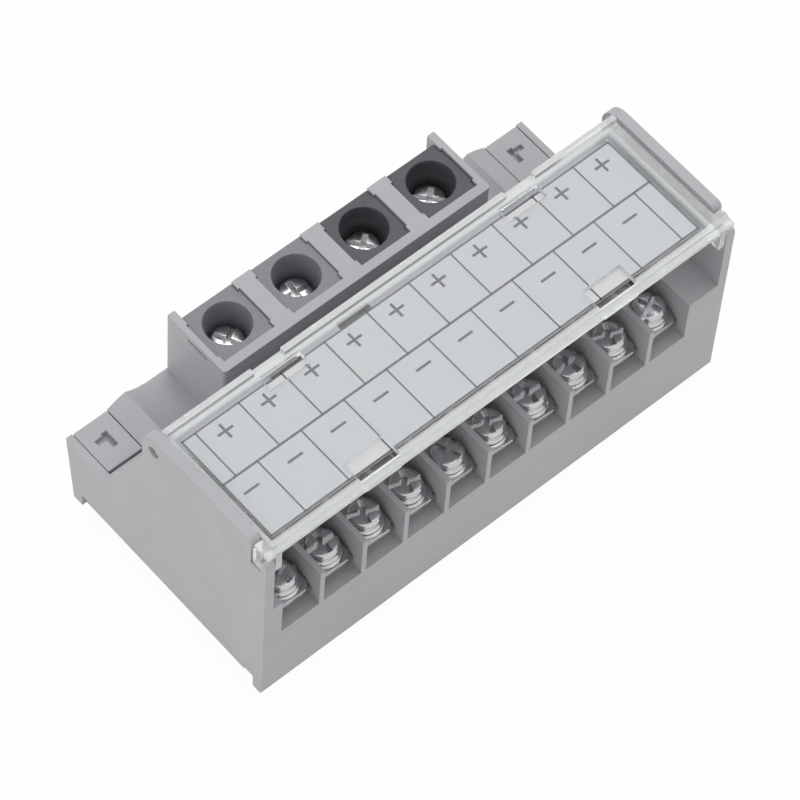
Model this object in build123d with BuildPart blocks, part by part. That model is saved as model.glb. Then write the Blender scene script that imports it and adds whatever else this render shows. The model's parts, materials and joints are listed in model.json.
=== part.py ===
from build123d import *
import os

# Common terminal block for 35 mm rail: ten "plus" and ten "minus" screw terminals in two
# staggered rows under a hinged clear cover, and four feed terminals at the rear.
# X runs along the rail, +Y to the rear, +Z up. Pieces are drawn from the front left corner of the
# hooks' underside, and saved about the middle of that underside.

# Rail and feet
rail_width = 35.0
rail_flange = 1.0
rail_play = 0.6
grip_play = 0.25
foot_width = 1.8
hook_drop = 1.1
foot_height = 2.1

# Rows of terminals
ways = 10
pitch = 7.2
end_wall = 2.7
end_skin = 1.5
barrier = 0.8
sill_z = 14.7
sill_depth = 2.2
plate_setback = 1.6
lower_floor_z = 16.0
lower_top_z = 22.4
lower_depth = 11.5
upper_floor_z = 24.0
upper_top_z = 31.0
upper_depth = 13.1
screw_offset = 4.4
trough_offset = 8.6
trough_rear_gap = 0.4
comb_rear_gap = 0.3

# End plates
corner_radius = 0.6
rear_corner_radius = 3.0
notch_corner_radius = 0.9
post_corner_radius = 0.8
end_top_z = 37.3
rake_top_z = 30.5
post_top_z = 34.6
post_depth = 1.0
notch_depth = 2.0
notch_z = 32.2

# Deck and feed block
deck_z = 14.4
deck_overhang = 1.4
saddle_height = 3.6
# Stepped hump on the deck beside each rail lock: distance from the end, and height
hump = [(7.0, 0), (8.8, 0.9), (10.1, 1.3), (10.9, 0.8), (12.4, 0.2), (13.2, 0.2)]
feed_count = 4
feed_pitch = 11.85
feed_floor_z = 13.6
block_top_z = 27.8
block_wall = 1.15
block_front_wall = 1.4
block_rear_gap = 0.2
insert_width = 8.45
insert_depth = 8.85
insert_top_z = 27.4
insert_setback = 1.5
fit = 0.1
flank = 0.28
flank_front_gap = 1.1
flank_rear_gap = 1.5
mouth_radius = 3.4
well_radius = 2.95
well_taper = 2.2
entry_z = (15.8, 20.4)
entry_half = 2.6
cage_width = 6.8
cage_depth = 6.3
cage_wall = 0.8
cage_top_z = 21.4

# Metal parts
bar_thickness = 1.0
bar_fit = 0.15
strap_width = 5.0
strap_play = 0.2
ramp_start_gap = 1.2
ramp_end_gap = 0.7
ramp_lean = 0.3
square_side = 6.0
square_thickness = 0.8
spring_radius = 2.7
spring_thickness = 0.8
head_radius = 2.8
head_height = 2.0
shank_radius = 1.45
shank_length = 5.6
slot_width = 0.8
slot_depth = 0.8
head_chamfer = 0.5
feed_head_radius = 2.5
feed_head_height = 1.9
feed_shank = 1.9
feed_shank_length = 1.9

# Cover and marking sheet
cover_z = 35.6
cover_thickness = 1.0
cover_play = 0.2
cover_front = 0.1
skirt = 1.0
skirt_bottom = 32.0
latch_play = 0.2
latch_radius = 0.75
rib_width = 0.9
rib_height = 0.8
rebate_width = 0.85
rebate_depth = 0.3
pin_radius = 0.9
pin_play = 0.06
pin_recess = 0.6
hinge_z = 34.2
hinge_setback = 2.3
window_x0 = 16.7
window_length = 6.6
front_window = (1.25, 4.8)
rear_window = (18.9, 21.0)
rib_gap_x0 = 16.3
rib_gap_length = 5.1
label_thickness = 0.3
label_play = 0.1
label_inset_left = 0.35
label_inset_right = 1.6
label_gap_front = 1.3
label_gap_rear = 0.45
lug_reach = 1.0
lug_wall = 0.8
lug_drop = 0.7

# Rail locks
lock_x0 = 1.1
lock_width = 5.8
lock_play = 0.12
tab_length = 7.5
tab_gap = 0.4
tab_thickness = 2.0
leg_thickness = 1.6
arm_length = 5.3
arm_z = 5.0
arm_thickness = 2.0
claw_length = 1.7

# Sizes that follow
length = (ways + 0.5) * pitch + 2 * end_wall
depth = rail_width + rail_play + 2 * foot_width
deck_rear = depth + deck_overhang
body_rear = lower_depth + upper_depth
rail_face_z = hook_drop + foot_height
claw_top = rail_face_z - rail_flange - grip_play
cell_width = pitch - barrier
lower_first = end_wall + pitch / 2
upper_first = lower_first + pitch / 2
row_span = (ways - 1) * pitch
lower_screw_y = screw_offset
upper_screw_y = lower_depth + screw_offset
insert_rear = deck_rear - insert_setback
insert_front = insert_rear - insert_depth
block_front = insert_front - block_front_wall - fit
block_half = (feed_count - 1) * feed_pitch / 2 + insert_width / 2 + fit + block_wall
block_left = length / 2 - block_half
block_right = length / 2 + block_half
feed_x = [length / 2 + (i - (feed_count - 1) / 2) * feed_pitch for i in range(feed_count)]
feed_y = (insert_front + insert_rear) / 2
minus_feeds = feed_x[feed_count // 2:]
plus_feeds = feed_x[:feed_count // 2]
channel = strap_width / 2 + strap_play
strap_z = deck_z + strap_play
strap_end = feed_y + 2.5
riser_y = body_rear - 2 * bar_thickness
lower_trough_rear = lower_depth - trough_rear_gap
lower_comb_rear = lower_trough_rear - comb_rear_gap
upper_trough_rear = riser_y
upper_comb_rear = riser_y - trough_rear_gap - comb_rear_gap
strap_channel_top = strap_z + bar_thickness + 2 * strap_play
ramp_start = body_rear + ramp_start_gap
ramp_end = block_front - ramp_end_gap
saddle_z = deck_z + saddle_height
flank_front = insert_front + flank_front_gap
flank_rear = insert_rear - flank_rear_gap
cage_front = feed_y - cage_depth / 2
cage_rear = feed_y + cage_depth / 2
hinge_y = body_rear - hinge_setback
cover_side = end_skin + cover_play
cover_rear = hinge_y + 0.4
cover_top_z = cover_z + cover_thickness
tab_rear = deck_rear - fit
tab_front = tab_rear - tab_length
slot_front = tab_front - tab_gap
leg_rear = depth - fit
leg_front = leg_rear - leg_thickness
arm_front = leg_front - arm_length
claw_tip = leg_front - claw_length


def box(x0, x1, y0, y1, z0, z1, mode=Mode.ADD):
    """Box between two corners, in the open part."""
    with Locations(((x0 + x1) / 2, (y0 + y1) / 2, (z0 + z1) / 2)):
        Box(x1 - x0, y1 - y0, z1 - z0, mode=mode)


def section(x0, x1, points, mode=Mode.ADD):
    """Outline in depth and height, extruded along X in the open part."""
    with BuildSketch(Plane.YZ.offset(x0)) as outline:
        with BuildLine():
            Polyline(*points, close=True)
        make_face()
    extrude(outline.sketch, amount=x1 - x0, mode=mode)


def both_ends(x0, x1):
    """A stretch of X at the left end and its mirror at the right end."""
    return [(x0, x1), (length - x1, length - x0)]


def save(piece, name):
    """Move a finished piece to the frame's origin, label it and write it."""
    piece.part = piece.part.moved(Location((-length / 2, -deck_rear / 2, 0)))
    piece.part.label = name
    export_step(piece.part, f"parts/{name}.step")


os.makedirs("parts", exist_ok=True)

# Base housing: one long section with both terminal steps, the deck and the rail recess
with BuildPart() as base_housing:
    with BuildSketch(Plane.YZ):
        with BuildLine():
            Polyline(
                (0, hook_drop),
                (foot_width, hook_drop),
                (foot_width, rail_face_z),
                (depth - foot_width, rail_face_z),
                (depth - foot_width, hook_drop),
                (depth, hook_drop),
                (deck_rear, deck_z),
                (body_rear, deck_z),
                (body_rear, upper_top_z),
                (lower_depth, upper_top_z),
                (lower_depth, lower_top_z),
                (0, lower_top_z),
                close=True,
            )
        make_face()
        # In the sketch, x is depth and y is height
        fillet(vertices().sort_by_distance((0, hook_drop))[:2], corner_radius)
    extrude(amount=length)
    # End plates: a thin upstanding skin with a raked rear edge, and a notch behind the front post for
    # the cover's latch
    notch_front = post_depth
    notch_rear = post_depth + notch_depth
    for x_start in (0, length - end_skin):
        with BuildSketch(Plane.YZ.offset(x_start)):
            with BuildLine():
                Polyline(
                    (0, sill_z),
                    (0, post_top_z),
                    (notch_front, post_top_z),
                    (notch_front, notch_z),
                    (notch_rear, notch_z),
                    (notch_rear, end_top_z),
                    (body_rear, end_top_z),
                    (body_rear, rake_top_z),
                    (slot_front, deck_z),
                    (slot_front, deck_z - 1),
                    (0, deck_z - 1),
                    close=True,
                )
            make_face()
            fillet(vertices().sort_by_distance((body_rear, end_top_z))[0], rear_corner_radius)
            fillet(vertices().sort_by_distance((notch_rear, end_top_z))[0], notch_corner_radius)
            fillet(vertices().sort_by_distance((0, post_top_z))[0], post_corner_radius)
        extrude(amount=end_skin)
    # Saddle over the feed straps, between the terminal rows and the feed block
    box(block_left, block_right, body_rear - 1, block_front, deck_z - 1, saddle_z)
    # Stepped humps
    for side, edge in ((1, 0), (-1, length)):
        outline = [(edge + side * x, deck_z + rise) for x, rise in hump]
        feet = [(edge + side * x, deck_z - 0.5) for x in (hump[-1][0], hump[0][0])]
        with BuildSketch(Plane.XZ.offset(-deck_rear)):
            with BuildLine():
                Polyline(*outline, *feet, close=True)
            make_face()
        extrude(amount=deck_rear - body_rear)
    # Compartments of both rows, open to the front, each with a trough for its comb bar behind
    for x_first, y_front, floor_z, sill, top_z, trough_rear in (
        (lower_first, 0, lower_floor_z, sill_z, lower_top_z, lower_trough_rear),
        (upper_first, lower_depth, upper_floor_z, upper_floor_z - 0.7, upper_top_z, upper_trough_rear),
    ):
        trough_front = y_front + trough_offset
        for i in range(ways):
            x0 = x_first + i * pitch - cell_width / 2
            x1 = x0 + cell_width
            box(x0, x1, y_front - 1, y_front + sill_depth, sill, top_z + 1, Mode.SUBTRACT)
            box(x0, x1, y_front + sill_depth, trough_front, floor_z, top_z + 1, Mode.SUBTRACT)
        x0 = x_first - cell_width / 2
        x1 = x_first + row_span + cell_width / 2
        box(x0, x1, trough_front, trough_rear, floor_z, top_z + 1, Mode.SUBTRACT)
        # Clearance holes for the screws' ends
        with Locations(*[(x_first + i * pitch, y_front + screw_offset, floor_z - 2.2) for i in range(ways)]):
            Cylinder(shank_radius + 0.25, 4.8, mode=Mode.SUBTRACT)
    # Channels for the feed straps
    for x_strap in minus_feeds:
        section(
            x_strap - channel,
            x_strap + channel,
            [
                (lower_depth - 3.5, lower_floor_z),
                (ramp_start - strap_play, lower_floor_z),
                (ramp_end - strap_play, strap_z),
                (block_front + 2.5, strap_z),
                (block_front + 2.5, strap_channel_top),
                (ramp_end + strap_play, strap_channel_top),
                (ramp_start + strap_play, lower_floor_z + bar_thickness + strap_play),
                (lower_depth - 3.5, lower_floor_z + bar_thickness + strap_play),
            ],
            Mode.SUBTRACT,
        )
    for x_strap in plus_feeds:
        x0, x1 = x_strap - channel, x_strap + channel
        box(x0, x1, riser_y - 0.6, riser_y + bar_thickness + 0.3, strap_z, upper_top_z + 1, Mode.SUBTRACT)
        box(x0, x1, riser_y + bar_thickness, block_front + 2.5, strap_z, strap_channel_top, Mode.SUBTRACT)
    # Pocket in the deck under each feed insert
    for xc in feed_x:
        half = insert_width / 2 + fit
        box(xc - half, xc + half, insert_front - fit, insert_rear + fit, feed_floor_z, deck_z + 5, Mode.SUBTRACT)
    # Hinge holes
    with Locations((length / 2, hinge_y, hinge_z)):
        Cylinder(pin_radius + pin_play, length + 2, rotation=(0, 90, 0), mode=Mode.SUBTRACT)
    # Slots for the rail locks
    slot_floor = deck_z - tab_thickness - lock_play
    for x0, x1 in both_ends(lock_x0 - lock_play, lock_x0 + lock_width + lock_play):
        box(x0, x1, slot_front, leg_front, slot_floor, deck_z + 3, Mode.SUBTRACT)
        box(x0, x1, arm_front - 0.4, leg_front, arm_z - lock_play, arm_z + arm_thickness + lock_play, Mode.SUBTRACT)
        box(x0, x1, leg_front - lock_play, deck_rear + 1, 0, deck_z + 3, Mode.SUBTRACT)
        box(x0, x1, claw_tip - 0.6, leg_front, 0, rail_face_z + 0.4, Mode.SUBTRACT)
    # Relief in the rail face along both edges of the rail
    for y0, y1 in ((foot_width, foot_width + 1.8), (claw_tip - 0.8, depth - foot_width)):
        box(-1, length + 1, y0, y1, rail_face_z - 0.1, rail_face_z + 0.4, Mode.SUBTRACT)
    # Fixed hooks behind the front foot
    for x0, x1 in both_ends(14, 24):
        section(
            x0,
            x1,
            [
                (0.3, hook_drop + 0.8),
                (0.3, 0.8),
                (1.1, 0),
                (foot_width + 1.2, 0),
                (foot_width + 1.4, 0.4),
                (foot_width + 1.1, claw_top),
                (foot_width, claw_top),
                (foot_width, hook_drop + 0.8),
            ],
        )
save(base_housing, "base_housing")

# Feed housing: four open-backed pockets with a front wall and longer end walls. Each partition is
# narrower in the middle, where the inserts' flanks stand out.
with BuildPart() as feed_housing:
    box(block_left, block_right, block_front, deck_rear - block_rear_gap, deck_z, block_top_z)
    for xc in feed_x:
        half = insert_width / 2 + fit
        box(xc - half, xc + half, insert_front - fit, deck_rear + 1, deck_z - 1, block_top_z + 1, Mode.SUBTRACT)
        box(
            xc - half - flank, xc + half + flank, flank_front - fit, flank_rear + fit,
            deck_z - 1, block_top_z + 1, Mode.SUBTRACT,
        )
        box(xc - channel, xc + channel, block_front - 1, insert_front, deck_z - 1, strap_channel_top, Mode.SUBTRACT)
    box(
        feed_x[0] - insert_width / 2, feed_x[-1] + insert_width / 2, insert_rear, deck_rear + 1,
        deck_z - 1, block_top_z + 1, Mode.SUBTRACT,
    )
    # Slot in the outer face of each end wall
    for x0, x1 in ((block_left - 1, block_left + 0.5), (block_right - 0.5, block_right + 1)):
        box(x0, x1, feed_y - 2.5, feed_y + 1.5, block_top_z - 1.3, block_top_z - 0.8, Mode.SUBTRACT)
    fillet(feed_housing.part.edges().filter_by(Axis.Z).group_by(Axis.Y)[0], 0.5)
save(feed_housing, "feed_housing")

# Feed inserts: square moulded bodies with a round screw well and a wire entry at the back
for number, xc in enumerate(feed_x, start=1):
    half = insert_width / 2
    with BuildPart() as feed_insert:
        box(xc - half, xc + half, insert_front, insert_rear, feed_floor_z, insert_top_z)
        box(xc - half - flank, xc + half + flank, flank_front, flank_rear, deck_z, insert_top_z)
        box(
            xc - cage_width / 2 - fit, xc + cage_width / 2 + fit, cage_front - fit, cage_rear + fit,
            feed_floor_z - 1, cage_top_z, Mode.SUBTRACT,
        )
        with BuildSketch(Plane.XY.offset(insert_top_z)):
            with Locations((xc, feed_y)):
                Circle(mouth_radius)
        with BuildSketch(Plane.XY.offset(insert_top_z - well_taper)):
            with Locations((xc, feed_y)):
                Circle(well_radius)
        loft(mode=Mode.SUBTRACT)
        with Locations((xc, feed_y, (insert_top_z + cage_top_z) / 2)):
            Cylinder(well_radius, insert_top_z - cage_top_z + 0.2, mode=Mode.SUBTRACT)
        box(xc - entry_half, xc + entry_half, cage_rear, insert_rear + 1, *entry_z, Mode.SUBTRACT)
        box(
            xc - channel, xc + channel, insert_front - 1, cage_front,
            feed_floor_z - 1, strap_channel_top, Mode.SUBTRACT,
        )
    save(feed_insert, f"feed_insert_{number}")

# Clamp cages: a folded metal sleeve round the strap and the wire
for number, xc in enumerate(feed_x, start=1):
    inner = cage_width / 2 - cage_wall
    with BuildPart() as feed_cage:
        box(xc - cage_width / 2, xc + cage_width / 2, cage_front, cage_rear, feed_floor_z, cage_top_z)
        box(
            xc - inner, xc + inner, cage_front - 1, cage_rear + 1,
            feed_floor_z + bar_thickness, cage_top_z - bar_thickness, Mode.SUBTRACT,
        )
        with Locations((xc, feed_y, cage_top_z)):
            Cylinder(feed_shank + 0.05, 4, mode=Mode.SUBTRACT)
    save(feed_cage, f"feed_cage_{number}")

# Feed screws
with BuildPart() as feed_screws:
    for xc in feed_x:
        with Locations((xc, feed_y, cage_top_z)):
            Cylinder(feed_head_radius, feed_head_height, align=(Align.CENTER, Align.CENTER, Align.MIN))
            Cylinder(feed_shank, feed_shank_length, align=(Align.CENTER, Align.CENTER, Align.MAX))
        with Locations((xc, feed_y, cage_top_z + feed_head_height)):
            Box(3 * feed_head_radius, slot_width, 2 * slot_depth, mode=Mode.SUBTRACT)
save(feed_screws, "feed_screws")


def comb(x_first, y_front, floor_z, rear):
    """Ten terminal plates joined by a strip behind them, in the open part."""
    half = cell_width / 2 - bar_fit
    top = floor_z + bar_thickness
    strip_front = y_front + trough_offset + bar_fit
    for i in range(ways):
        xc = x_first + i * pitch
        box(xc - half, xc + half, y_front + plate_setback, strip_front + 0.5, floor_z, top)
    box(x_first - half, x_first + row_span + half, strip_front, rear, floor_z, top)
    with Locations(*[(x_first + i * pitch, y_front + screw_offset, floor_z) for i in range(ways)]):
        Cylinder(shank_radius + 0.05, 4, mode=Mode.SUBTRACT)


# Common bars: a comb of terminal plates, with straps into the cages of two feeds
with BuildPart() as minus_bar:
    comb(lower_first, 0, lower_floor_z, lower_comb_rear)
    for x_strap in minus_feeds:
        section(
            x_strap - strap_width / 2,
            x_strap + strap_width / 2,
            [
                (lower_comb_rear - 0.5, lower_floor_z),
                (ramp_start, lower_floor_z),
                (ramp_end, strap_z),
                (strap_end, strap_z),
                (strap_end, strap_z + bar_thickness),
                (ramp_end + ramp_lean, strap_z + bar_thickness),
                (ramp_start + ramp_lean, lower_floor_z + bar_thickness),
                (lower_comb_rear - 0.5, lower_floor_z + bar_thickness),
            ],
        )
save(minus_bar, "minus_bar")

with BuildPart() as plus_bar:
    comb(upper_first, lower_depth, upper_floor_z, upper_comb_rear)
    for x_strap in plus_feeds:
        section(
            x_strap - strap_width / 2,
            x_strap + strap_width / 2,
            [
                (upper_comb_rear - 0.5, upper_floor_z),
                (riser_y, upper_floor_z),
                (riser_y, strap_z),
                (strap_end, strap_z),
                (strap_end, strap_z + bar_thickness),
                (riser_y + bar_thickness, strap_z + bar_thickness),
                (riser_y + bar_thickness, upper_floor_z + bar_thickness),
                (upper_comb_rear - 0.5, upper_floor_z + bar_thickness),
            ],
        )
save(plus_bar, "plus_bar")

# Terminal screws with a spring washer and a square washer under each head
washer_bore = shank_radius + 0.15
for row, x_first, y_row, floor_z in (
    ("lower", lower_first, lower_screw_y, lower_floor_z),
    ("upper", upper_first, upper_screw_y, upper_floor_z),
):
    plate_z = floor_z + bar_thickness
    spring_z = plate_z + square_thickness
    head_z = spring_z + spring_thickness
    places = [(x_first + i * pitch, y_row) for i in range(ways)]
    with BuildPart() as square_washers:
        with BuildSketch(Plane.XY.offset(plate_z)):
            with Locations(*places):
                Rectangle(square_side, square_side)
                Circle(washer_bore, mode=Mode.SUBTRACT)
        extrude(amount=square_thickness)
    save(square_washers, f"{row}_square_washers")
    with BuildPart() as spring_washers:
        with BuildSketch(Plane.XY.offset(spring_z)):
            with Locations(*places):
                Circle(spring_radius)
                Circle(washer_bore, mode=Mode.SUBTRACT)
            with Locations(*[(x + 2.1, y) for x, y in places]):
                Rectangle(1.6, 0.5, mode=Mode.SUBTRACT)
        extrude(amount=spring_thickness)
    save(spring_washers, f"{row}_spring_washers")
    with BuildPart() as screws:
        with BuildSketch(Plane.XY.offset(head_z)):
            with Locations(*places):
                Circle(head_radius)
        extrude(amount=head_height)
        chamfer(screws.part.edges().group_by(Axis.Z)[-1], head_chamfer)
        with BuildSketch(Plane.XY.offset(head_z)):
            with Locations(*places):
                Circle(shank_radius)
        extrude(amount=-shank_length)
        with Locations(*[(x, y, head_z + head_height) for x, y in places]):
            Box(3 * head_radius, slot_width, 2 * slot_depth, mode=Mode.SUBTRACT)
    save(screws, f"{row}_screws")

# Clear cover: a shallow lid with side skirts, a rear rib, front latches and four retaining windows
rib_front = cover_rear - rib_width
lug_top = cover_z - label_thickness - label_play
lug_bottom = lug_top - lug_drop
label_front = front_window[0] + label_gap_front
label_rear = rear_window[1] - label_gap_rear
with BuildPart() as cover:
    box(cover_side, length - cover_side, cover_front, cover_rear, cover_z, cover_top_z)
    for x0, x1 in both_ends(cover_side, cover_side + skirt):
        box(x0, x1, cover_front, cover_rear, skirt_bottom, cover_z)
    box(cover_side, length - cover_side, rib_front, cover_rear, cover_top_z, cover_top_z + rib_height)
    box(
        cover_side, length - cover_side, cover_front - 1, cover_front + rebate_width,
        cover_top_z - rebate_depth, cover_top_z + 1, Mode.SUBTRACT,
    )
    # Latches that fill the notches of the end plates
    for x0, x1 in both_ends(latch_play, cover_side + skirt):
        with BuildSketch(Plane.YZ.offset(x0)):
            with BuildLine():
                Polyline(
                    (notch_front + latch_play, notch_z + latch_play),
                    (notch_front + latch_play, cover_top_z - 0.2),
                    (notch_rear - latch_play, cover_top_z - 0.2),
                    (notch_rear - latch_play, notch_z + latch_play),
                    close=True,
                )
            make_face()
            fillet(vertices().group_by(Axis.Y)[-1], latch_radius)
        extrude(amount=x1 - x0)
    # Corners of the front edge over the end plates' posts
    for x0, x1 in both_ends(2 * latch_play, cover_side):
        box(x0, x1, cover_front, notch_rear - latch_play, cover_z, cover_top_z - 0.2)
    # Gaps in the rear rib
    for x0, x1 in both_ends(rib_gap_x0, rib_gap_x0 + rib_gap_length):
        box(x0, x1, rib_front - 1, cover_rear + 1, cover_top_z, cover_top_z + 2, Mode.SUBTRACT)
    # Windows over the edges of the marking sheet, each with a lug below that holds the sheet up
    for x0, x1 in both_ends(window_x0, window_x0 + window_length):
        box(x0, x1, *front_window, cover_z - 1, cover_top_z + 1, Mode.SUBTRACT)
        box(x0, x1, *rear_window, cover_z - 1, cover_top_z + 1, Mode.SUBTRACT)
        for y_wall, y_tip in (
            ((front_window[0] - lug_wall, front_window[0]), label_front + lug_reach),
            ((rear_window[1], rear_window[1] + lug_wall), label_rear - lug_reach),
        ):
            box(x0 + 0.4, x1 - 0.4, min(*y_wall, y_tip), max(*y_wall, y_tip), lug_bottom, lug_top)
            box(x0 + 0.4, x1 - 0.4, *y_wall, lug_bottom, cover_z + 0.1)
    for x0, x1 in both_ends(pin_recess, cover_side + skirt):
        with Locations(((x0 + x1) / 2, hinge_y, hinge_z)):
            Cylinder(pin_radius, x1 - x0, rotation=(0, 90, 0))
    for x0, x1 in both_ends(cover_side, cover_side + skirt):
        with Locations(((x0 + x1) / 2, hinge_y, hinge_z)):
            Cylinder(pin_radius + 0.4, x1 - x0, rotation=(0, 90, 0))
save(cover, "cover")

# Marking sheet behind the cover
label_left = cover_side + skirt + label_inset_left
label_right = length - cover_side - skirt - label_inset_right
with BuildPart() as label_sheet:
    box(label_left, label_right, label_front, label_rear, cover_z - label_thickness, cover_z)
save(label_sheet, "label_sheet")

# Rail locks: a sliding tab in the deck at each end, with a claw under the rail's rear edge
mark_y = tab_rear - 3.1
for side, inward, (x0, x1) in zip(("left", "right"), (1, -1), both_ends(lock_x0, lock_x0 + lock_width)):
    with BuildPart() as rail_lock:
        section(
            x0,
            x1,
            [
                (tab_front, deck_z),
                (tab_front, deck_z - tab_thickness),
                (leg_front, deck_z - tab_thickness),
                (leg_front, arm_z + arm_thickness),
                (arm_front, arm_z + arm_thickness),
                (arm_front, arm_z),
                (leg_front, arm_z),
                (leg_front, claw_top + 0.4),
                (claw_tip, claw_top),
                (claw_tip, 0.6),
                (claw_tip + 0.6, 0),
                (leg_rear - 0.6, 0),
                (leg_rear, 0.6),
                (tab_rear - 0.1, deck_z - tab_thickness),
                (tab_rear, deck_z),
            ],
        )
        # Angled screwdriver notch in the top
        x_mark = (x0 + x1) / 2 - 0.25 * inward
        with Locations((x_mark, mark_y, deck_z)):
            Box(2.3, slot_width, 1.6, mode=Mode.SUBTRACT)
        with Locations((x_mark + inward * 0.7, mark_y - 0.5, deck_z)):
            Box(0.9, 2.6, 2.2, mode=Mode.SUBTRACT)
    save(rail_lock, f"rail_lock_{side}")
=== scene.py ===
import json
import math

import bmesh
import bpy
from mathutils import Matrix, Vector

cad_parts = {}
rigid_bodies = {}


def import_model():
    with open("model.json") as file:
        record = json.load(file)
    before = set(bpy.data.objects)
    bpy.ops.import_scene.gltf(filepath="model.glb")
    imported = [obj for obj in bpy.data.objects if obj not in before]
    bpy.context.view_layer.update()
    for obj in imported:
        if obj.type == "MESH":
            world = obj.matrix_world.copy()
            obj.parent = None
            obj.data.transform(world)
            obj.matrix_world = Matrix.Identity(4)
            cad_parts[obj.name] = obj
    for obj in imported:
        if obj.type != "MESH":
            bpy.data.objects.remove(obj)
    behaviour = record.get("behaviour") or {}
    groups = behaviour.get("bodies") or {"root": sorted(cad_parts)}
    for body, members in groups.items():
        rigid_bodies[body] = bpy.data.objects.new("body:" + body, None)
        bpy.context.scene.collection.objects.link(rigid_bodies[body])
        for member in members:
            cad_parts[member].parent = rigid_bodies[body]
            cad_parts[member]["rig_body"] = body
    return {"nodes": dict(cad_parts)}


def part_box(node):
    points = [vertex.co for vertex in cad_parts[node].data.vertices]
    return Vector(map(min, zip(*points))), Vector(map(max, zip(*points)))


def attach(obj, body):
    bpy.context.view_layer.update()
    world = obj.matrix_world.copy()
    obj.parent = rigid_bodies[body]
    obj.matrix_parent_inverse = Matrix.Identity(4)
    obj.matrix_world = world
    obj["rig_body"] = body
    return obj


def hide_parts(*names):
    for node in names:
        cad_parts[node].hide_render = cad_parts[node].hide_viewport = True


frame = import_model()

bl_info = {
    "name": "Common terminal block",
    "version": (1, 0, 0),
    "blender": (4, 5, 0),
    "location": "3D View > Sidebar > Terminals",
    "description": "Finishes, screws, washers, marking sheet and studio of a common terminal block",
    "category": "Object",
}

MM = 0.001
SEED = 7

# Edges that turn by more are bevelled, and on turned pieces shaded sharp
BEVELLED_FROM = math.radians(35)
SHARP_FROM = math.radians(40)

# The part of a noise's range that holds nearly all of it
NOISE_MIDDLE = {"From Min": 0.3, "From Max": 0.7}

# Outlines of the screw heads from the underside to the top, in shares of the head's radius and height
PAN_HEAD = (
    (0.98, 0), (1, 0.04), (1, 0.14), (0.98, 0.19), (0.9, 0.23), (0.88, 0.28), (0.92, 0.68),
    (0.93, 0.76), (0.9, 0.85), (0.84, 0.92), (0.76, 0.96), (0.5, 0.985), (0, 1),
)
CHEESE_HEAD = ((0.96, 0), (1, 0.08), (1, 0.8), (0.94, 0.94), (0.84, 1), (0, 1))


def linear(code):
    """Turns an sRGB hex code into the three linear values that Blender stores."""
    values = [int(code[i : i + 2], 16) / 255 for i in (1, 3, 5)]
    return tuple(v / 12.92 if v <= 0.04045 else ((v + 0.055) / 1.055) ** 2.4 for v in values)


def colour(name, description, code):
    """A colour in the sidebar."""
    return bpy.props.FloatVectorProperty(
        name=name, description=description, default=linear(code), size=3, subtype="COLOR", min=0, max=1
    )


def length(name, description, millimetres):
    """A size in the sidebar, stored in metres."""
    return bpy.props.FloatProperty(
        name=name, description=description, default=millimetres * MM, unit="LENGTH", precision=5
    )


def angle(name, description, degrees):
    """An angle in the sidebar, stored in radians."""
    return bpy.props.FloatProperty(
        name=name, description=description, default=math.radians(degrees), subtype="ANGLE"
    )


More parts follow.
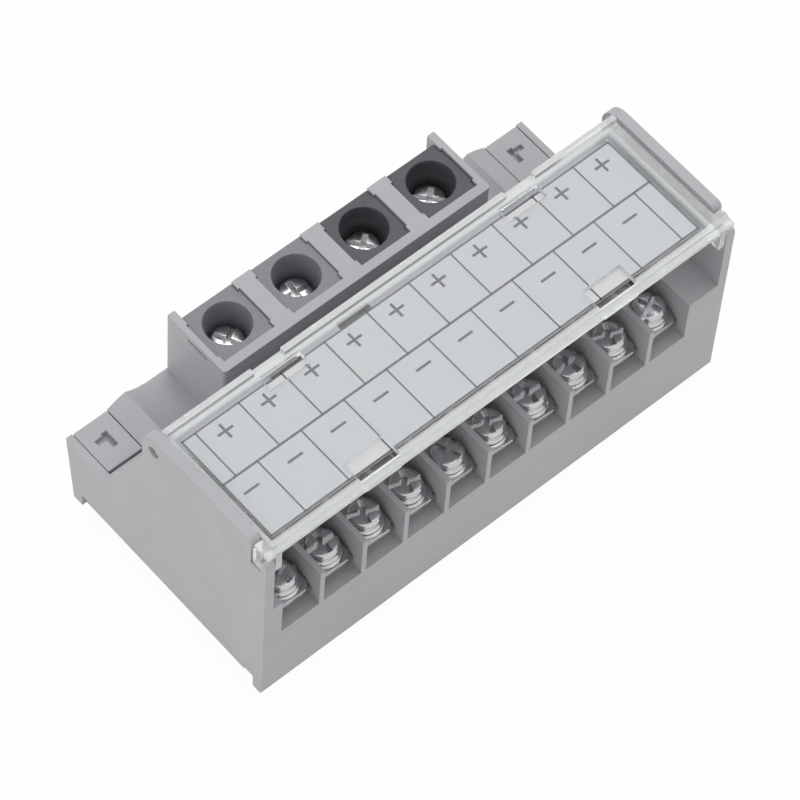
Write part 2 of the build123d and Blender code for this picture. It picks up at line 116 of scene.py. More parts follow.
class BlockSizes(bpy.types.PropertyGroup):
    """Sizes of the pieces, and how far the loose ones are turned"""

    ways: bpy.props.IntProperty(name="Ways", description="Screws in each row", default=10, min=2)
    feeds: bpy.props.IntProperty(name="Feeds", description="Feed-in terminals", default=4, min=2)
    edge: length("Moulded edge", "Radius on the edges of the mouldings", 0.14)
    clear_edge: length("Clear edge", "Radius on the edges of the clear cover", 0.16)
    head_radius: length("Head radius", "Radius of a clamp screw's pan head", 2.55)
    head_height: length("Head height", "Height of a clamp screw's pan head", 2.0)
    slot_width: length("Slot width", "Width of the driver slot", 0.8)
    slot_depth: length("Slot depth", "Depth of the driver slot", 1.0)
    cross_span: length("Cross span", "Length of the cross recess over the slot", 3.6)
    shank_radius: length("Shank radius", "Radius of a clamp screw's shank", 1.45)
    screw_turn: angle("Screw turn", "Most that a clamp screw is turned either way", 25)
    spring_radius: length("Spring washer radius", "Outer radius of the split spring washer", 2.8)
    spring_height: length("Spring washer height", "Height of the split spring washer", 0.8)
    spring_play: length("Spring washer play", "Air between a shank and its spring washer", 0.15)
    spring_edge: length("Spring washer edge", "Radius on the edges of a spring washer", 0.08)
    spring_turn: angle("Spring washer turn", "Most that a spring washer is turned either way", 170)
    square_side: length("Square washer side", "Side of the captive square washer", 6.0)
    square_height: length("Square washer height", "Thickness of the square washer", 0.8)
    square_edge: length("Square washer edge", "Radius on the edges of a square washer", 0.06)
    square_turn: angle("Square washer turn", "Most that a square washer is turned either way", 2)
    feed_radius: length("Feed head radius", "Radius of a feed screw's head", 2.5)
    feed_height: length("Feed head height", "Height of a feed screw's head", 1.9)
    feed_shank: length("Feed shank radius", "Radius of a feed screw's shank", 1.9)
    feed_turn: angle("Feed screw turn", "Most that a feed screw is turned either way", 60)
    sheet_gap: length("Sheet gap", "Air between the marking sheet and the cover", 0.08)
    sheet_thickness: length("Sheet thickness", "Thickness of the marking sheet", 0.18)
    sheet_edge: length("Sheet edge", "Radius on the edges of the marking sheet", 0.03)
    print_height: length("Print height", "How far the print stands on the sheet", 0.02)
    cell_pitch: length("Cell pitch", "Pitch of the cells on the marking sheet", 7.22)
    cell_line: length("Cell line", "Width of the line between two cells", 0.24)
    frame_line: length("Frame line", "Width of the line between the rows and of the front line", 0.34)
    rear_cells: length("Rear cells", "From the sheet's left end to the first line of the rear row", 2.25)
    front_cells: length("Front cells", "From the sheet's left end to the first line of the front row", 5.75)
    split: length("Split", "From the sheet's front edge to the line between the rows", 9.7)
    sign_size: length("Sign size", "Length of a stroke of a plus or minus sign", 2.5)
    sign_stroke: length("Sign stroke", "Width of a stroke of a sign", 0.38)
    plus_place: length("Plus place", "From the sheet's left end to the first plus sign", 5.5)
    plus_height: length("Plus height", "From the line between the rows to the plus signs", 6.0)
    minus_place: length("Minus place", "From the sheet's left end to the first minus sign", 2.55)
    minus_height: length("Minus height", "From the sheet's front edge to the minus signs", 7.0)


class BlockColours(bpy.types.PropertyGroup):
    """Colours of the finishes"""

    housing: colour("Housing", "Light grey moulding", "#B4B5B8")
    insert_grey: colour("Grey insert", "Insert of the positive feed", "#85868C")
    insert_dark: colour("Dark insert", "Insert of the negative feed", "#4A4B50")
    plated_steel: colour("Plated steel", "Screws and washers", "#C4C4C6")
    plated_brass: colour("Plated brass", "Conductors", "#BCBCBA")
    clear_cover: colour("Clear cover", "Tint of the clear cover", "#F4F6F7")
    sheet: colour("Marking sheet", "Card of the marking sheet", "#E0E1E3")
    ink: colour("Print", "Ink on the marking sheet", "#6A6B70")


# Nodes and materials


def add_node(tree, kind, sockets=None, **settings):
    """Adds a node. Each entry of sockets gives one input, by its name or number, a value or a link."""
    node = tree.nodes.new(kind)
    for name, value in settings.items():
        setattr(node, name, value)
    for key, value in (sockets or {}).items():
        if isinstance(value, bpy.types.NodeSocket):
            tree.links.new(value, node.inputs[key])
        else:
            node.inputs[key].default_value = value
    return node


def start_material(name):
    """A material with one Principled shader, and the output of its Object coordinates."""
    material = bpy.data.materials.new(name)
    material.use_nodes = True
    tree = material.node_tree
    tree.nodes.clear()
    shader = add_node(tree, "ShaderNodeBsdfPrincipled")
    add_node(tree, "ShaderNodeOutputMaterial", {"Surface": shader.outputs[0]})
    place = add_node(tree, "ShaderNodeTexCoord").outputs["Object"]
    return material, tree, shader, place


def blotches(tree, place, size, detail=2.0, stretch=(1, 1, 1)):
    """A pattern of soft blotches about size metres wide."""
    scaled = add_node(tree, "ShaderNodeMapping", {"Vector": place, "Scale": stretch}).outputs[0]
    settings = {"Vector": scaled, "Scale": 1 / size, "Detail": detail}
    return add_node(tree, "ShaderNodeTexNoise", settings).outputs[0]


def mottle(tree, shader, tone, amount, pattern):
    """Lets a pattern move the shader's colour between a darker and a lighter tone of one hue."""
    dark = tuple(c * (1 - amount) for c in tone) + (1,)
    light = tuple(min(1, c * (1 + amount)) for c in tone) + (1,)
    factor = add_node(tree, "ShaderNodeMapRange", {"Value": pattern, **NOISE_MIDDLE}).outputs[0]
    mix = add_node(tree, "ShaderNodeMix", {0: factor, 6: dark, 7: light}, data_type="RGBA")
    tree.links.new(mix.outputs[2], shader.inputs["Base Color"])


def texture_surface(tree, shader, polish, smoothest, roughest, relief, height, strength):
    """Sets the roughness between two values by one pattern, and raises the surface by another."""
    ends = {**NOISE_MIDDLE, "To Min": smoothest, "To Max": roughest}
    roughness = add_node(tree, "ShaderNodeMapRange", {"Value": polish, **ends}).outputs[0]
    tree.links.new(roughness, shader.inputs["Roughness"])
    settings = {"Height": relief, "Distance": height, "Strength": strength}
    raised = add_node(tree, "ShaderNodeBump", settings).outputs[0]
    tree.links.new(raised, shader.inputs["Normal"])


def moulded_plastic(name, tone):
    """Glass-filled polyamide or ABS from a spark-eroded mould.

    The mould leaves a fine even grain, which spreads highlights, and the melt's flow leaves faint clouds
    of lighter and darker grey a few millimetres wide. The real grain is 0.05 mm, and here it is 0.3 mm so
    that it shows.
    """
    material, tree, shader, place = start_material(name)
    clouds = blotches(tree, place, 7 * MM, 3.0, (0.5, 1, 1))
    grain = blotches(tree, place, 0.3 * MM)
    shader.inputs["IOR"].default_value = 1.53
    mottle(tree, shader, tone, 0.035, clouds)
    texture_surface(tree, shader, grain, 0.41, 0.53, grain, 0.03 * MM, 0.25)
    return material


def plated_metal(name, tone):
    """Steel or brass with a barrel-plated nickel or tin skin.

    Plating follows the rolled or turned surface, so a stretched grain shows in the highlights, with duller
    patches where the pieces rubbed together in the barrel. The real grain is about 0.05 mm, and here it is
    0.25 mm so that it shows.
    """
    material, tree, shader, place = start_material(name)
    rubbed = blotches(tree, place, 1.6 * MM, 3.0)
    rolled = blotches(tree, place, 0.25 * MM, 2.0, (0.25, 1, 1))
    shader.inputs["Metallic"].default_value = 1.0
    mottle(tree, shader, tone, 0.08, rubbed)
    texture_surface(tree, shader, rubbed, 0.10, 0.30, rolled, 0.02 * MM, 0.2)
    return material


def clear_plastic(name, tone):
    """Clear polycarbonate from a polished mould.

    The surface is glossy and almost even, with a slow ripple where the walls shrank, and handling leaves
    a slight haze in patches. The rim outside the marking sheet and the walls of the windows are painted
    pale. This painted glow stands for the light that the plate carries along inside and lets out there.
    Light on its way to the sheet and the housing passes straight through. The IOR is under the real 1.58,
    so that the steps in the plate stay as light as the real ones look.
    """
    material, tree, shader, place = start_material(name)
    haze = blotches(tree, place, 9 * MM)
    ripple = blotches(tree, place, 5 * MM, 1.0)
    shader.inputs["Base Color"].default_value = (*tone, 1)
    shader.inputs["IOR"].default_value = 1.3
    # Less clear at the rim and the window walls, where the pale tint shows as painted light
    tree.links.new(clear_share(tree, place), shader.inputs["Transmission Weight"])
    texture_surface(tree, shader, haze, 0.015, 0.05, ripple, 0.03 * MM, 0.15)
    rays = add_node(tree, "ShaderNodeLightPath").outputs
    either = {0: rays["Is Shadow Ray"], 1: rays["Is Diffuse Ray"]}
    light = add_node(tree, "ShaderNodeMath", either, operation="ADD", use_clamp=True).outputs[0]
    through = add_node(tree, "ShaderNodeBsdfTransparent", {"Color": (0.9, 0.9, 0.9, 1)}).outputs[0]
    both = add_node(tree, "ShaderNodeMixShader", {0: light, 1: shader.outputs[0], 2: through})
    tree.links.new(both.outputs[0], tree.nodes["Material Output"].inputs[0])
    return material


def clear_share(tree, place):
    """1 where the cover is clear, and less over the rim outside the sheet and the walls of the windows.

    The pale rim, painted light, starts a little outside the sheet, so that it hides no print.
    """
    low, high = (Vector(corner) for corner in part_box("label_sheet"))
    # Each share below 1 lets the cover's pale tint show there, a painted glow at the rim and the walls
    gap, blend = 0.6 * MM, 0.2 * MM
    wall_share = 0.7
    across = add_node(tree, "ShaderNodeSeparateXYZ", {"Vector": place}).outputs
    clear = 1.0
    for value, edge, outwards, rim_share in (
        (across[1], low.y, -1, 0.52),
        (across[1], high.y, 1, 0.5),
        (across[0], low.x, -1, 0.55),
        (across[0], high.x, 1, 0.7),
    ):
        start = edge + outwards * gap
        ends = {"From Min": start, "From Max": start + outwards * blend, "To Min": 1.0, "To Max": rim_share}
        share = add_node(tree, "ShaderNodeMapRange", {"Value": value, **ends}).outputs[0]
        clear = add_node(tree, "ShaderNodeMath", {0: share, 1: clear}, operation="MINIMUM").outputs[0]
    normal = add_node(tree, "ShaderNodeTexCoord").outputs["Normal"]
    upright = add_node(tree, "ShaderNodeSeparateXYZ", {"Vector": normal}).outputs[2]
    level = add_node(tree, "ShaderNodeMath", {0: upright}, operation="ABSOLUTE").outputs[0]
    flat_to_steep = {"From Min": 0.8, "From Max": 0.4}
    wall = add_node(tree, "ShaderNodeMapRange", {"Value": level, **flat_to_steep}).outputs[0]
    return add_node(tree, "ShaderNodeMix", {0: wall, 2: clear, 3: wall_share}, data_type="FLOAT").outputs[0]


def printed_card(name, tone):
    """Matt coated card. Its fibres clump, which shows as a slight unevenness of tone and surface."""
    material, tree, shader, place = start_material(name)
    fibres = blotches(tree, place, 0.5 * MM, 3.0, (0.4, 1, 1))
    shader.inputs["IOR"].default_value = 1.45
    mottle(tree, shader, tone, 0.02, fibres)
    texture_surface(tree, shader, fibres, 0.55, 0.7, fibres, 0.01 * MM, 0.2)
    return material


def label_ink(name, tone):
    """Offset ink, thinner and greyer where the card's fibres took less of it."""
    material, tree, shader, place = start_material(name)
    shader.inputs["Roughness"].default_value = 0.6
    mottle(tree, shader, tone, 0.15, blotches(tree, place, 0.2 * MM))
    return material


FINISHES = {
    "housing": ("moulded grey polyamide", moulded_plastic),
    "insert_grey": ("moulded mid grey polyamide", moulded_plastic),
    "insert_dark": ("moulded dark grey polyamide", moulded_plastic),
    "plated_steel": ("nickel-plated steel", plated_metal),
    "plated_brass": ("tin-plated brass", plated_metal),
    "clear_cover": ("moulded clear polycarbonate", clear_plastic),
    "sheet": ("coated card", printed_card),
    "ink": ("offset ink", label_ink),
}


def finish_of(context, key):
    """The material of a finish, made the first time it is asked for."""
    name, make = FINISHES[key]
    return bpy.data.materials.get(name) or make(name, getattr(context.scene.block_colours, key))


# Meshes


def new_piece(name, bm, material):
    """Turns a bmesh into a linked object with one material."""
    mesh = bpy.data.meshes.new(name)
    bm.to_mesh(mesh)
    bm.free()
    mesh.materials.append(material)
    piece = bpy.data.objects.new(name, mesh)
    bpy.context.scene.collection.objects.link(piece)
    return piece


def round_edges(piece, width):
    """Adds a small bevel to the sharp edges, with the flat faces kept flat in the shading."""
    piece.data.shade_smooth()
    bevel = piece.modifiers.new("Edges", "BEVEL")
    bevel.width = width
    bevel.segments = 2
    bevel.limit_method = "ANGLE"
    bevel.angle_limit = BEVELLED_FROM
    bevel.use_clamp_overlap = True
    normals = piece.modifiers.new("Flat faces", "WEIGHTED_NORMAL")
    normals.mode = "FACE_AREA"
    normals.weight = 100


def merged_copy(node):
    """The solid of a CAD node as a bmesh with shared corners and no needless edges on its flat faces."""
    bm = bmesh.new()
    bm.from_mesh(frame["nodes"][node].data)
    bmesh.ops.remove_doubles(bm, verts=bm.verts, dist=0.001 * MM)
    bmesh.ops.dissolve_limit(bm, angle_limit=math.radians(0.5), verts=bm.verts, edges=bm.edges)
    return bm


def seat(piece, node):
    """The piece stands for a CAD node, which it hides, and rides on the same body."""
    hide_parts(node)
    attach(piece, frame["nodes"][node]["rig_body"])


def lathe(profile, steps):
    """A closed solid of revolution about Z from (radius, height) points, first and last on the axis."""
    bm = bmesh.new()
    rings = []
    for radius, height in profile:
        if radius == 0:
            rings.append([bm.verts.new((0, 0, height))])
            continue
        turns = (2 * math.pi * i / steps for i in range(steps))
        rings.append([bm.verts.new((radius * math.cos(t), radius * math.sin(t), height)) for t in turns])
    for below, above in zip(rings, rings[1:]):
        for i in range(steps):
            around = ((below, i), (below, i + 1), (above, i + 1), (above, i))
            corners = [ring[k % len(ring)] for ring, k in around]
            bm.faces.new(list(dict.fromkeys(corners)))
    bmesh.ops.recalc_face_normals(bm, faces=bm.faces)
    return bm


def add_box(bm, centre, size):
    """Adds a box to a bmesh."""
    bmesh.ops.create_cube(bm, size=1, matrix=Matrix.Translation(centre) @ Matrix.Diagonal((*size, 1)))


def cut(piece, cutters):
    """Subtracts a bmesh of boxes from a piece, and keeps the result as its mesh."""
    tool = new_piece("cutter", cutters, piece.data.materials[0])
    boolean = piece.modifiers.new("Cut", "BOOLEAN")
    boolean.object = tool
    boolean.solver = "EXACT"
    boolean.use_self = True
    settle(piece)
    bpy.data.objects.remove(tool)


def settle(piece):
    """Keeps what a piece's modifiers make as its plain mesh, and removes them."""
    depsgraph = bpy.context.evaluated_depsgraph_get()
    made = bpy.data.meshes.new_from_object(piece.evaluated_get(depsgraph), depsgraph=depsgraph)
    piece.modifiers.clear()
    piece.data = made


def row_tree():
    """Geometry Nodes tree that repeats a piece along X, each copy turned a little about its own axis."""
    name = "Repeat along the block"
    if name in bpy.data.node_groups:
        return bpy.data.node_groups[name]
    tree = bpy.data.node_groups.new(name, "GeometryNodeTree")
    sockets = tree.interface
    sockets.new_socket("Piece", in_out="INPUT", socket_type="NodeSocketGeometry")
    sockets.new_socket("Count", in_out="INPUT", socket_type="NodeSocketInt")
    sockets.new_socket("Pitch", in_out="INPUT", socket_type="NodeSocketFloat")
    sockets.new_socket("First place", in_out="INPUT", socket_type="NodeSocketVector")
    sockets.new_socket("Most turn", in_out="INPUT", socket_type="NodeSocketFloat")
    sockets.new_socket("Seed", in_out="INPUT", socket_type="NodeSocketInt")
    sockets.new_socket("Material", in_out="INPUT", socket_type="NodeSocketMaterial")
    sockets.new_socket("Row", in_out="OUTPUT", socket_type="NodeSocketGeometry")
    given = add_node(tree, "NodeGroupInput").outputs
    step = add_node(tree, "ShaderNodeCombineXYZ", {"X": given["Pitch"]}).outputs[0]
    places = {"Count": given["Count"], "Start Location": given["First place"], "Offset": step}
    line = add_node(tree, "GeometryNodeMeshLine", places).outputs[0]
    most = given["Most turn"]
    least = add_node(tree, "ShaderNodeMath", {0: most, 1: -1.0}, operation="MULTIPLY").outputs[0]
    limits = {2: least, 3: most, "Seed": given["Seed"]}
    turn = add_node(tree, "FunctionNodeRandomValue", limits, data_type="FLOAT").outputs[1]
    rotation = add_node(tree, "ShaderNodeCombineXYZ", {"Z": turn}).outputs[0]
    copies = {"Points": line, "Instance": given["Piece"], "Rotation": rotation}
    row = add_node(tree, "GeometryNodeInstanceOnPoints", copies).outputs[0]
    real = add_node(tree, "GeometryNodeRealizeInstances", {"Geometry": row}).outputs[0]
    look = {"Geometry": real, "Material": given["Material"]}
    dressed = add_node(tree, "GeometryNodeSetMaterial", look)
    add_node(tree, "NodeGroupOutput", {0: dressed.outputs[0]})
    return tree


def repeat(piece, count, pitch, first, turn=0.0):
    """Repeats a piece along X with the row tree, and keeps the row as its plain mesh."""
    tree = row_tree()
    values = {
        "Count": count,
        "Pitch": pitch,
        "First place": first,
        "Most turn": turn,
        "Seed": SEED,
        "Material": piece.data.materials[0],
    }
    modifier = piece.modifiers.new("Row", "NODES")
    modifier.node_group = tree
    for item in tree.interface.items_tree:
        if item.in_out == "INPUT" and item.name in values:
            modifier[item.identifier] = values[item.name]
    settle(piece)


def place_row(piece, node, count, level, turn):
    """Repeats a piece over the places of a CAD node's row, and lets the row stand for the node.

    The node's box gives the places along X, because each piece of such a row is as wide as deep.
    """
    low, high = (Vector(corner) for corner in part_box(node))
    width = high.y - low.y
    pitch = (high.x - low.x - width) / (count - 1)
    repeat(piece, count, pitch, (low.x + width / 2, (low.y + high.y) / 2, level), turn)
    seat(piece, node)


# Pieces


class BLOCK_OT_mouldings(bpy.types.Operator):
    """Dress the housing, the feed housing, the inserts and the rail locks as moulded plastic"""

    bl_idname = "block.mouldings"
    bl_label = "Mouldings"

    def execute(self, context):
        sizes = context.scene.block_sizes
        mouldings = {
            "base_housing": "housing",
            "feed_housing": "housing",
            "feed_insert_1": "insert_grey",
            "feed_insert_2": "insert_grey",
            "feed_insert_3": "insert_dark",
            "feed_insert_4": "insert_dark",
            "rail_lock_left": "housing",
            "rail_lock_right": "housing",
        }
        for node, finish in mouldings.items():
            piece = new_piece(f"moulded_{node}", merged_copy(node), finish_of(context, finish))
            round_edges(piece, sizes.edge)
            seat(piece, node)
        return {"FINISHED"}


class BLOCK_OT_clear_cover(bpy.types.Operator):
    """Dress the hinged cover as clear plastic"""

    bl_idname = "block.clear_cover"
    bl_label = "Clear cover"

    def execute(self, context):
        piece = new_piece("clear_hinged_cover", merged_copy("cover"), finish_of(context, "clear_cover"))
        round_edges(piece, context.scene.block_sizes.clear_edge)
        seat(piece, "cover")
        return {"FINISHED"}


def driven_screw(name, sizes, material, shank, head, radius, height):
    """A turned screw with a driver slot across its head and a shorter cross stroke over it.

    The shank is an outline from the tip to the head's underside, at height 0, and the head is one in
    shares of its radius and height.
    """
    outline = [*shank, *((radius * reach, height * rise) for reach, rise in head)]
    screw = new_piece(name, lathe(outline, steps=40), material)
    # The cutters stand out of the head. The second is a hair wider and deeper, so that no faces coincide.
    proud, hair = 0.2 * MM, 0.02 * MM
    depth = sizes.slot_depth + proud
    middle = (0, 0, height + (proud - sizes.slot_depth) / 2)
    cross = bmesh.new()
    add_box(cross, middle, (2.4 * radius, sizes.slot_width, depth))
    add_box(cross, middle, (sizes.slot_width * 1.02, sizes.cross_span, depth + hair))
    cut(screw, cross)
    return screw


def shade_turned(piece):
    """Smooths the round faces of turned pieces, and keeps their edges sharp."""
    piece.data.shade_smooth()
    piece.data.set_sharp_from_angle(angle=SHARP_FROM)


class BLOCK_OT_clamp_screws(bpy.types.Operator):
    """Make the two rows of pan-head clamp screws"""

    bl_idname = "block.clamp_screws"
    bl_label = "Clamp screws"

    def execute(self, context):
        sizes = context.scene.block_sizes
        radius, height = sizes.head_radius, sizes.head_height
        tip_radius, tip = 0.7 * sizes.shank_radius, 0.4 * MM
        for node in ("lower_screws", "upper_screws"):
            low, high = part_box(node)
            underside = high[2] - height
            end = low[2] - underside
            shank = [(0, end), (tip_radius, end), (sizes.shank_radius, end + tip), (sizes.shank_radius, 0)]
            steel = finish_of(context, "plated_steel")
            screw = driven_screw(f"plated_{node}", sizes, steel, shank, PAN_HEAD, radius, height)
            place_row(screw, node, sizes.ways, underside, sizes.screw_turn)
            shade_turned(screw)
        return {"FINISHED"}


def split_washer(name, sizes, material):
    """A helical split spring washer, pressed almost flat, standing on height 0."""
    bm = bmesh.new()
    outer, inner = sizes.spring_radius, sizes.shank_radius + sizes.spring_play
    wire = sizes.spring_height * 0.8
    rise = sizes.spring_height - wire
    steps, gap = 44, math.radians(12)
    sections = []
    for i in range(steps + 1):
        turn = gap / 2 + (2 * math.pi - gap) * i / steps
        lift = rise * i / steps
        corners = ((inner, lift), (outer, lift), (outer, lift + wire), (inner, lift + wire))
        sections.append([bm.verts.new((r * math.cos(turn), r * math.sin(turn), z)) for r, z in corners])
    for one, two in zip(sections, sections[1:]):
        for k in range(4):
            bm.faces.new((one[k], one[(k + 1) % 4], two[(k + 1) % 4], two[k]))
    bm.faces.new(sections[0])
    bm.faces.new(sections[-1][::-1])
    bmesh.ops.recalc_face_normals(bm, faces=bm.faces)
    return new_piece(name, bm, material)


def square_washer(name, sizes, material):
    """A square washer with clipped corners, its top at height 0."""
    bm = bmesh.new()
    half, thick = sizes.square_side / 2, sizes.square_height
    clip = 0.16 * sizes.square_side
    outline = []
    for x, y in ((1, 1), (-1, 1), (-1, -1), (1, -1)):
        ends = ((half * x, (half - clip) * y), ((half - clip) * x, half * y))
        outline += ends if x * y > 0 else ends[::-1]
    hole, hole_steps = 1.12 * sizes.shank_radius, 24
    turns = [2 * math.pi * i / hole_steps for i in range(hole_steps)]
    rim = [(hole * math.cos(t), hole * math.sin(t)) for t in turns]
    edges = []
    for loop in (outline, rim):
        corners = [bm.verts.new((x, y, -thick)) for x, y in loop]
        edges += [bm.edges.new((corners[i - 1], corners[i])) for i in range(len(corners))]
    bmesh.ops.triangle_fill(bm, use_beauty=True, edges=edges)
    made = bmesh.ops.extrude_face_region(bm, geom=list(bm.faces))
    lifted = [v for v in made["geom"] if isinstance(v, bmesh.types.BMVert)]
    bmesh.ops.translate(bm, verts=lifted, vec=(0, 0, thick))
    bmesh.ops.recalc_face_normals(bm, faces=bm.faces)
    return new_piece(name, bm, material)


class BLOCK_OT_washers(bpy.types.Operator):
    """Make the split spring washers and the square washers of both rows"""

    bl_idname = "block.washers"
    bl_label = "Washers"

    def execute(self, context):
        sizes = context.scene.block_sizes
        steel = finish_of(context, "plated_steel")
        for row in ("lower", "upper"):
            node = f"{row}_spring_washers"
            washer = split_washer(f"split_{node}", sizes, steel)
            place_row(washer, node, sizes.ways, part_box(node)[0][2], sizes.spring_turn)
            round_edges(washer, sizes.spring_edge)

            node = f"{row}_square_washers"
            washer = square_washer(f"pressed_{node}", sizes, steel)
            place_row(washer, node, sizes.ways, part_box(node)[1][2], sizes.square_turn)
            round_edges(washer, sizes.square_edge)
        return {"FINISHED"}


class BLOCK_OT_feed_terminals(bpy.types.Operator):
    """Finish the feed screws, the clamp cages and the two comb bars as plated metal"""

    bl_idname = "block.feed_terminals"
    bl_label = "Feed terminals and bars"

    def execute(self, context):
        sizes = context.scene.block_sizes
        steel = finish_of(context, "plated_steel")
        radius, height = sizes.feed_radius, sizes.feed_height
        low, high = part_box("feed_screws")
        underside = high[2] - height
        end = low[2] - underside
        shank = [(0, end), (sizes.feed_shank, end), (sizes.feed_shank, 0)]
        screw = driven_screw("plated_feed_screws", sizes, steel, shank, CHEESE_HEAD, radius, height)
        place_row(screw, "feed_screws", sizes.feeds, underside, sizes.feed_turn)
        shade_turned(screw)
        plain = {"minus_bar": "plated_brass", "plus_bar": "plated_brass"}
        plain.update({f"feed_cage_{i + 1}": "plated_steel" for i in range(sizes.feeds)})
        for node, finish in plain.items():
            mesh = frame["nodes"][node].data
            mesh.materials.clear()
            mesh.materials.append(finish_of(context, finish))
        return {"FINISHED"}


class BLOCK_OT_marking_sheet(bpy.types.Operator):
    """Make the marking sheet under the cover, with its printed grid of plus and minus cells"""

    bl_idname = "block.marking_sheet"
    bl_label = "Marking sheet"

    def execute(self, context):
        sizes = context.scene.block_sizes
        low, high = (Vector(corner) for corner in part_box("label_sheet"))
        middle = (low + high) / 2
        top = high.z - sizes.sheet_gap
        middle.z = top - sizes.sheet_thickness / 2
        card = bmesh.new()
        add_box(card, middle, (high.x - low.x, high.y - low.y, sizes.sheet_thickness))
        sheet = new_piece("marking_sheet", card, finish_of(context, "sheet"))
        round_edges(sheet, sizes.sheet_edge)
        seat(sheet, "label_sheet")
        grid = self.grid(sizes, finish_of(context, "ink"), low, high, top + sizes.print_height / 2)
        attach(grid, frame["nodes"]["label_sheet"]["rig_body"])
        return {"FINISHED"}

    def grid(self, sizes, ink, low, high, level):
        """The print of the sheet between two corners: the cells' lines, the signs and the outer frame."""
        split = low.y + sizes.split
        rear_line = self.stroke(sizes, ink, sizes.cell_line, high.y - split)
        front_line = self.stroke(sizes, ink, sizes.cell_line, split - low.y)
        plus = self.plus(sizes, ink)
        minus = self.stroke(sizes, ink, sizes.sign_size, sizes.sign_stroke)
        whole = bmesh.new()
        for piece, start, depth in (
            (rear_line, sizes.rear_cells, (split + high.y) / 2),
            (front_line, sizes.front_cells, (low.y + split) / 2),
            (plus, sizes.plus_place, split + sizes.plus_height),
            (minus, sizes.minus_place, low.y + sizes.minus_height),
        ):
            repeat(piece, sizes.ways, sizes.cell_pitch, (low.x + start, depth, level))
            whole.from_mesh(piece.data)
            bpy.data.objects.remove(piece)
        line, thin = sizes.frame_line, sizes.cell_line
        middle = (low + high) / 2
        for y, wide in ((low.y + line / 2, line), (split, line), (high.y - thin / 2, thin)):
            add_box(whole, (middle.x, y, level), (high.x - low.x, wide, sizes.print_height))
        for x in (low.x + thin / 2, high.x - thin / 2):
            add_box(whole, (x, middle.y, level), (thin, high.y - low.y, sizes.print_height))
        return new_piece("marking_print", whole, ink)

    def stroke(self, sizes, ink, long, wide):
        """A printed stroke, long by wide, about the origin."""
        bm = bmesh.new()
        add_box(bm, (0, 0, 0), (long, wide, sizes.print_height))
        return new_piece("stroke", bm, ink)

    def plus(self, sizes, ink):
        """A printed plus sign about the origin, its upright in two halves so that nothing overlaps."""
        bm = bmesh.new()
        long, wide = sizes.sign_size, sizes.sign_stroke
        add_box(bm, (0, 0, 0), (long, wide, sizes.print_height))
        for side in (-1, 1):
            add_box(bm, (0, side * (long + wide) / 4, 0), (wide, (long - wide) / 2, sizes.print_height))
        return new_piece("plus", bm, ink)


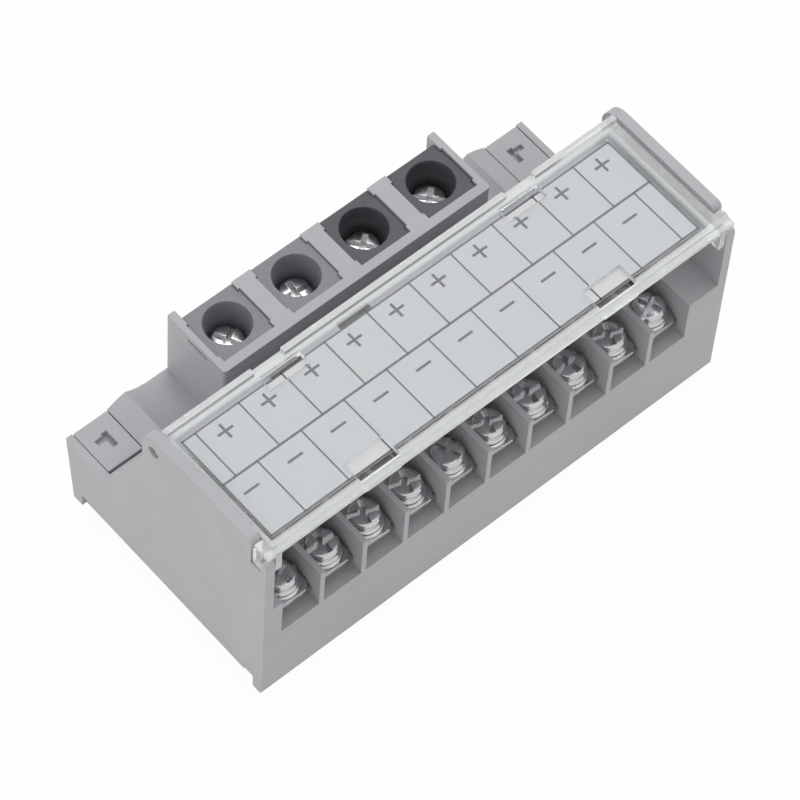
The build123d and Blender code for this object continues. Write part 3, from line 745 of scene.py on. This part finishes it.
class BLOCK_OT_studio(bpy.types.Operator):
    """Set the pale floor, the soft lamps, the white background and the camera"""

    bl_idname = "block.studio"
    bl_label = "Studio"

    def execute(self, context):
        sheet = bmesh.new()
        bmesh.ops.create_grid(sheet, x_segments=1, y_segments=1, size=3.0)
        floor = new_piece("floor", sheet, self.paper())
        # Just under the block, so that the floor and the underside don't coincide
        floor.location.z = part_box("base_housing")[0][2] - 0.05 * MM
        self.lamp("left", place=(-0.85, 0.10, 0.42), size=0.5, power=1.05)
        self.lamp("top", place=(0.25, 0.2, 0.9), size=0.6, power=2.35)
        self.sky(context)
        self.camera(context)
        context.scene.view_settings.view_transform = "Standard"
        return {"FINISHED"}

    def paper(self):
        """Matt white paper that the camera, and what mirrors it, see as white except in the shadow."""
        material, tree, shader, place = start_material("white paper floor")
        shader.inputs["Roughness"].default_value = 0.9
        shader.inputs["Specular IOR Level"].default_value = 0.1
        mottle(tree, shader, linear("#F2F2F2"), 0.01, blotches(tree, place, 1 * MM))
        glow_share = {0: self.seen(tree), 1: 0.96}
        share = add_node(tree, "ShaderNodeMath", glow_share, operation="MULTIPLY").outputs[0]
        glow = add_node(tree, "ShaderNodeEmission", {"Strength": 1.0}).outputs[0]
        both = add_node(tree, "ShaderNodeMixShader", {0: share, 1: shader.outputs[0], 2: glow})
        tree.links.new(both.outputs[0], tree.nodes["Material Output"].inputs[0])
        return material

    def seen(self, tree):
        """1 for rays from the camera and for mirrored or refracted ones, 0 for light."""
        rays = add_node(tree, "ShaderNodeLightPath").outputs
        first = {0: rays["Is Camera Ray"], 1: rays["Is Glossy Ray"]}
        straight_or_mirrored = add_node(tree, "ShaderNodeMath", first, operation="ADD").outputs[0]
        second = {0: straight_or_mirrored, 1: rays["Is Transmission Ray"]}
        return add_node(tree, "ShaderNodeMath", second, operation="ADD", use_clamp=True).outputs[0]

    def lamp(self, name, place, size, power):
        """A square soft lamp that points at the block."""
        light = bpy.data.lights.new(name, "AREA")
        light.size = size
        light.energy = power
        lamp = bpy.data.objects.new(name, light)
        lamp.location = place
        lamp.rotation_euler = (-Vector(place)).to_track_quat("-Z", "Y").to_euler()
        bpy.context.scene.collection.objects.link(lamp)

    def sky(self, context):
        """A white background, and a soft even light from all round."""
        world = bpy.data.worlds.new("studio")
        context.scene.world = world
        world.use_nodes = True
        tree = world.node_tree
        tree.nodes.clear()
        light_or_white = {"Value": self.seen(tree), "To Min": 0.63, "To Max": 1.0}
        strength = add_node(tree, "ShaderNodeMapRange", light_or_white).outputs[0]
        sky = add_node(tree, "ShaderNodeBackground", {"Color": (1, 1, 1, 1), "Strength": strength})
        add_node(tree, "ShaderNodeOutputWorld", {0: sky.outputs[0]})

    def camera(self, context):
        """A long lens from the front left, high up and rolled a little, as in the photograph."""
        lens = bpy.data.cameras.new("camera")
        lens.lens = 209.0
        lens.sensor_width = 36.0
        lens.clip_end = 10.0
        camera = bpy.data.objects.new("camera", lens)
        place = (-233.4 * MM, -234.0 * MM, 542.4 * MM)
        azimuth, elevation, roll = (math.radians(degrees) for degrees in (-45.05, 58.27, 4.82))
        turn = Matrix.Rotation(azimuth, 4, "Z") @ Matrix.Rotation(math.pi / 2 - elevation, 4, "X")
        camera.matrix_world = Matrix.Translation(place) @ turn @ Matrix.Rotation(roll, 4, "Z")
        context.scene.collection.objects.link(camera)
        context.scene.camera = camera


OPERATORS = (
    BLOCK_OT_mouldings,
    BLOCK_OT_clear_cover,
    BLOCK_OT_clamp_screws,
    BLOCK_OT_washers,
    BLOCK_OT_feed_terminals,
    BLOCK_OT_marking_sheet,
    BLOCK_OT_studio,
)


class BLOCK_PT_panel(bpy.types.Panel):
    """Sizes, colours and the steps that dress the block"""

    bl_label = "Common terminal block"
    bl_idname = "BLOCK_PT_panel"
    bl_space_type = "VIEW_3D"
    bl_region_type = "UI"
    bl_category = "Terminals"

    def draw(self, context):
        for group in (context.scene.block_sizes, context.scene.block_colours):
            box = self.layout.box()
            for name in group.__annotations__:
                box.prop(group, name)
        for operator in OPERATORS:
            self.layout.operator(operator.bl_idname)


CLASSES = (BlockSizes, BlockColours, *OPERATORS, BLOCK_PT_panel)


def register():
    for cls in CLASSES:
        bpy.utils.register_class(cls)
    bpy.types.Scene.block_sizes = bpy.props.PointerProperty(type=BlockSizes)
    bpy.types.Scene.block_colours = bpy.props.PointerProperty(type=BlockColours)


def unregister():
    del bpy.types.Scene.block_colours
    del bpy.types.Scene.block_sizes
    for cls in reversed(CLASSES):
        bpy.utils.unregister_class(cls)


def plain(bounds):
    """A box's two corners as plain lists."""
    return [[float(value) for value in corner] for corner in bounds]


def main():
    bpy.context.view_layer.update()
    register()
    for operator in OPERATORS:
        group, name = operator.bl_idname.split(".")
        getattr(getattr(bpy.ops, group), name)()


if __name__ == "__main__":
    main()
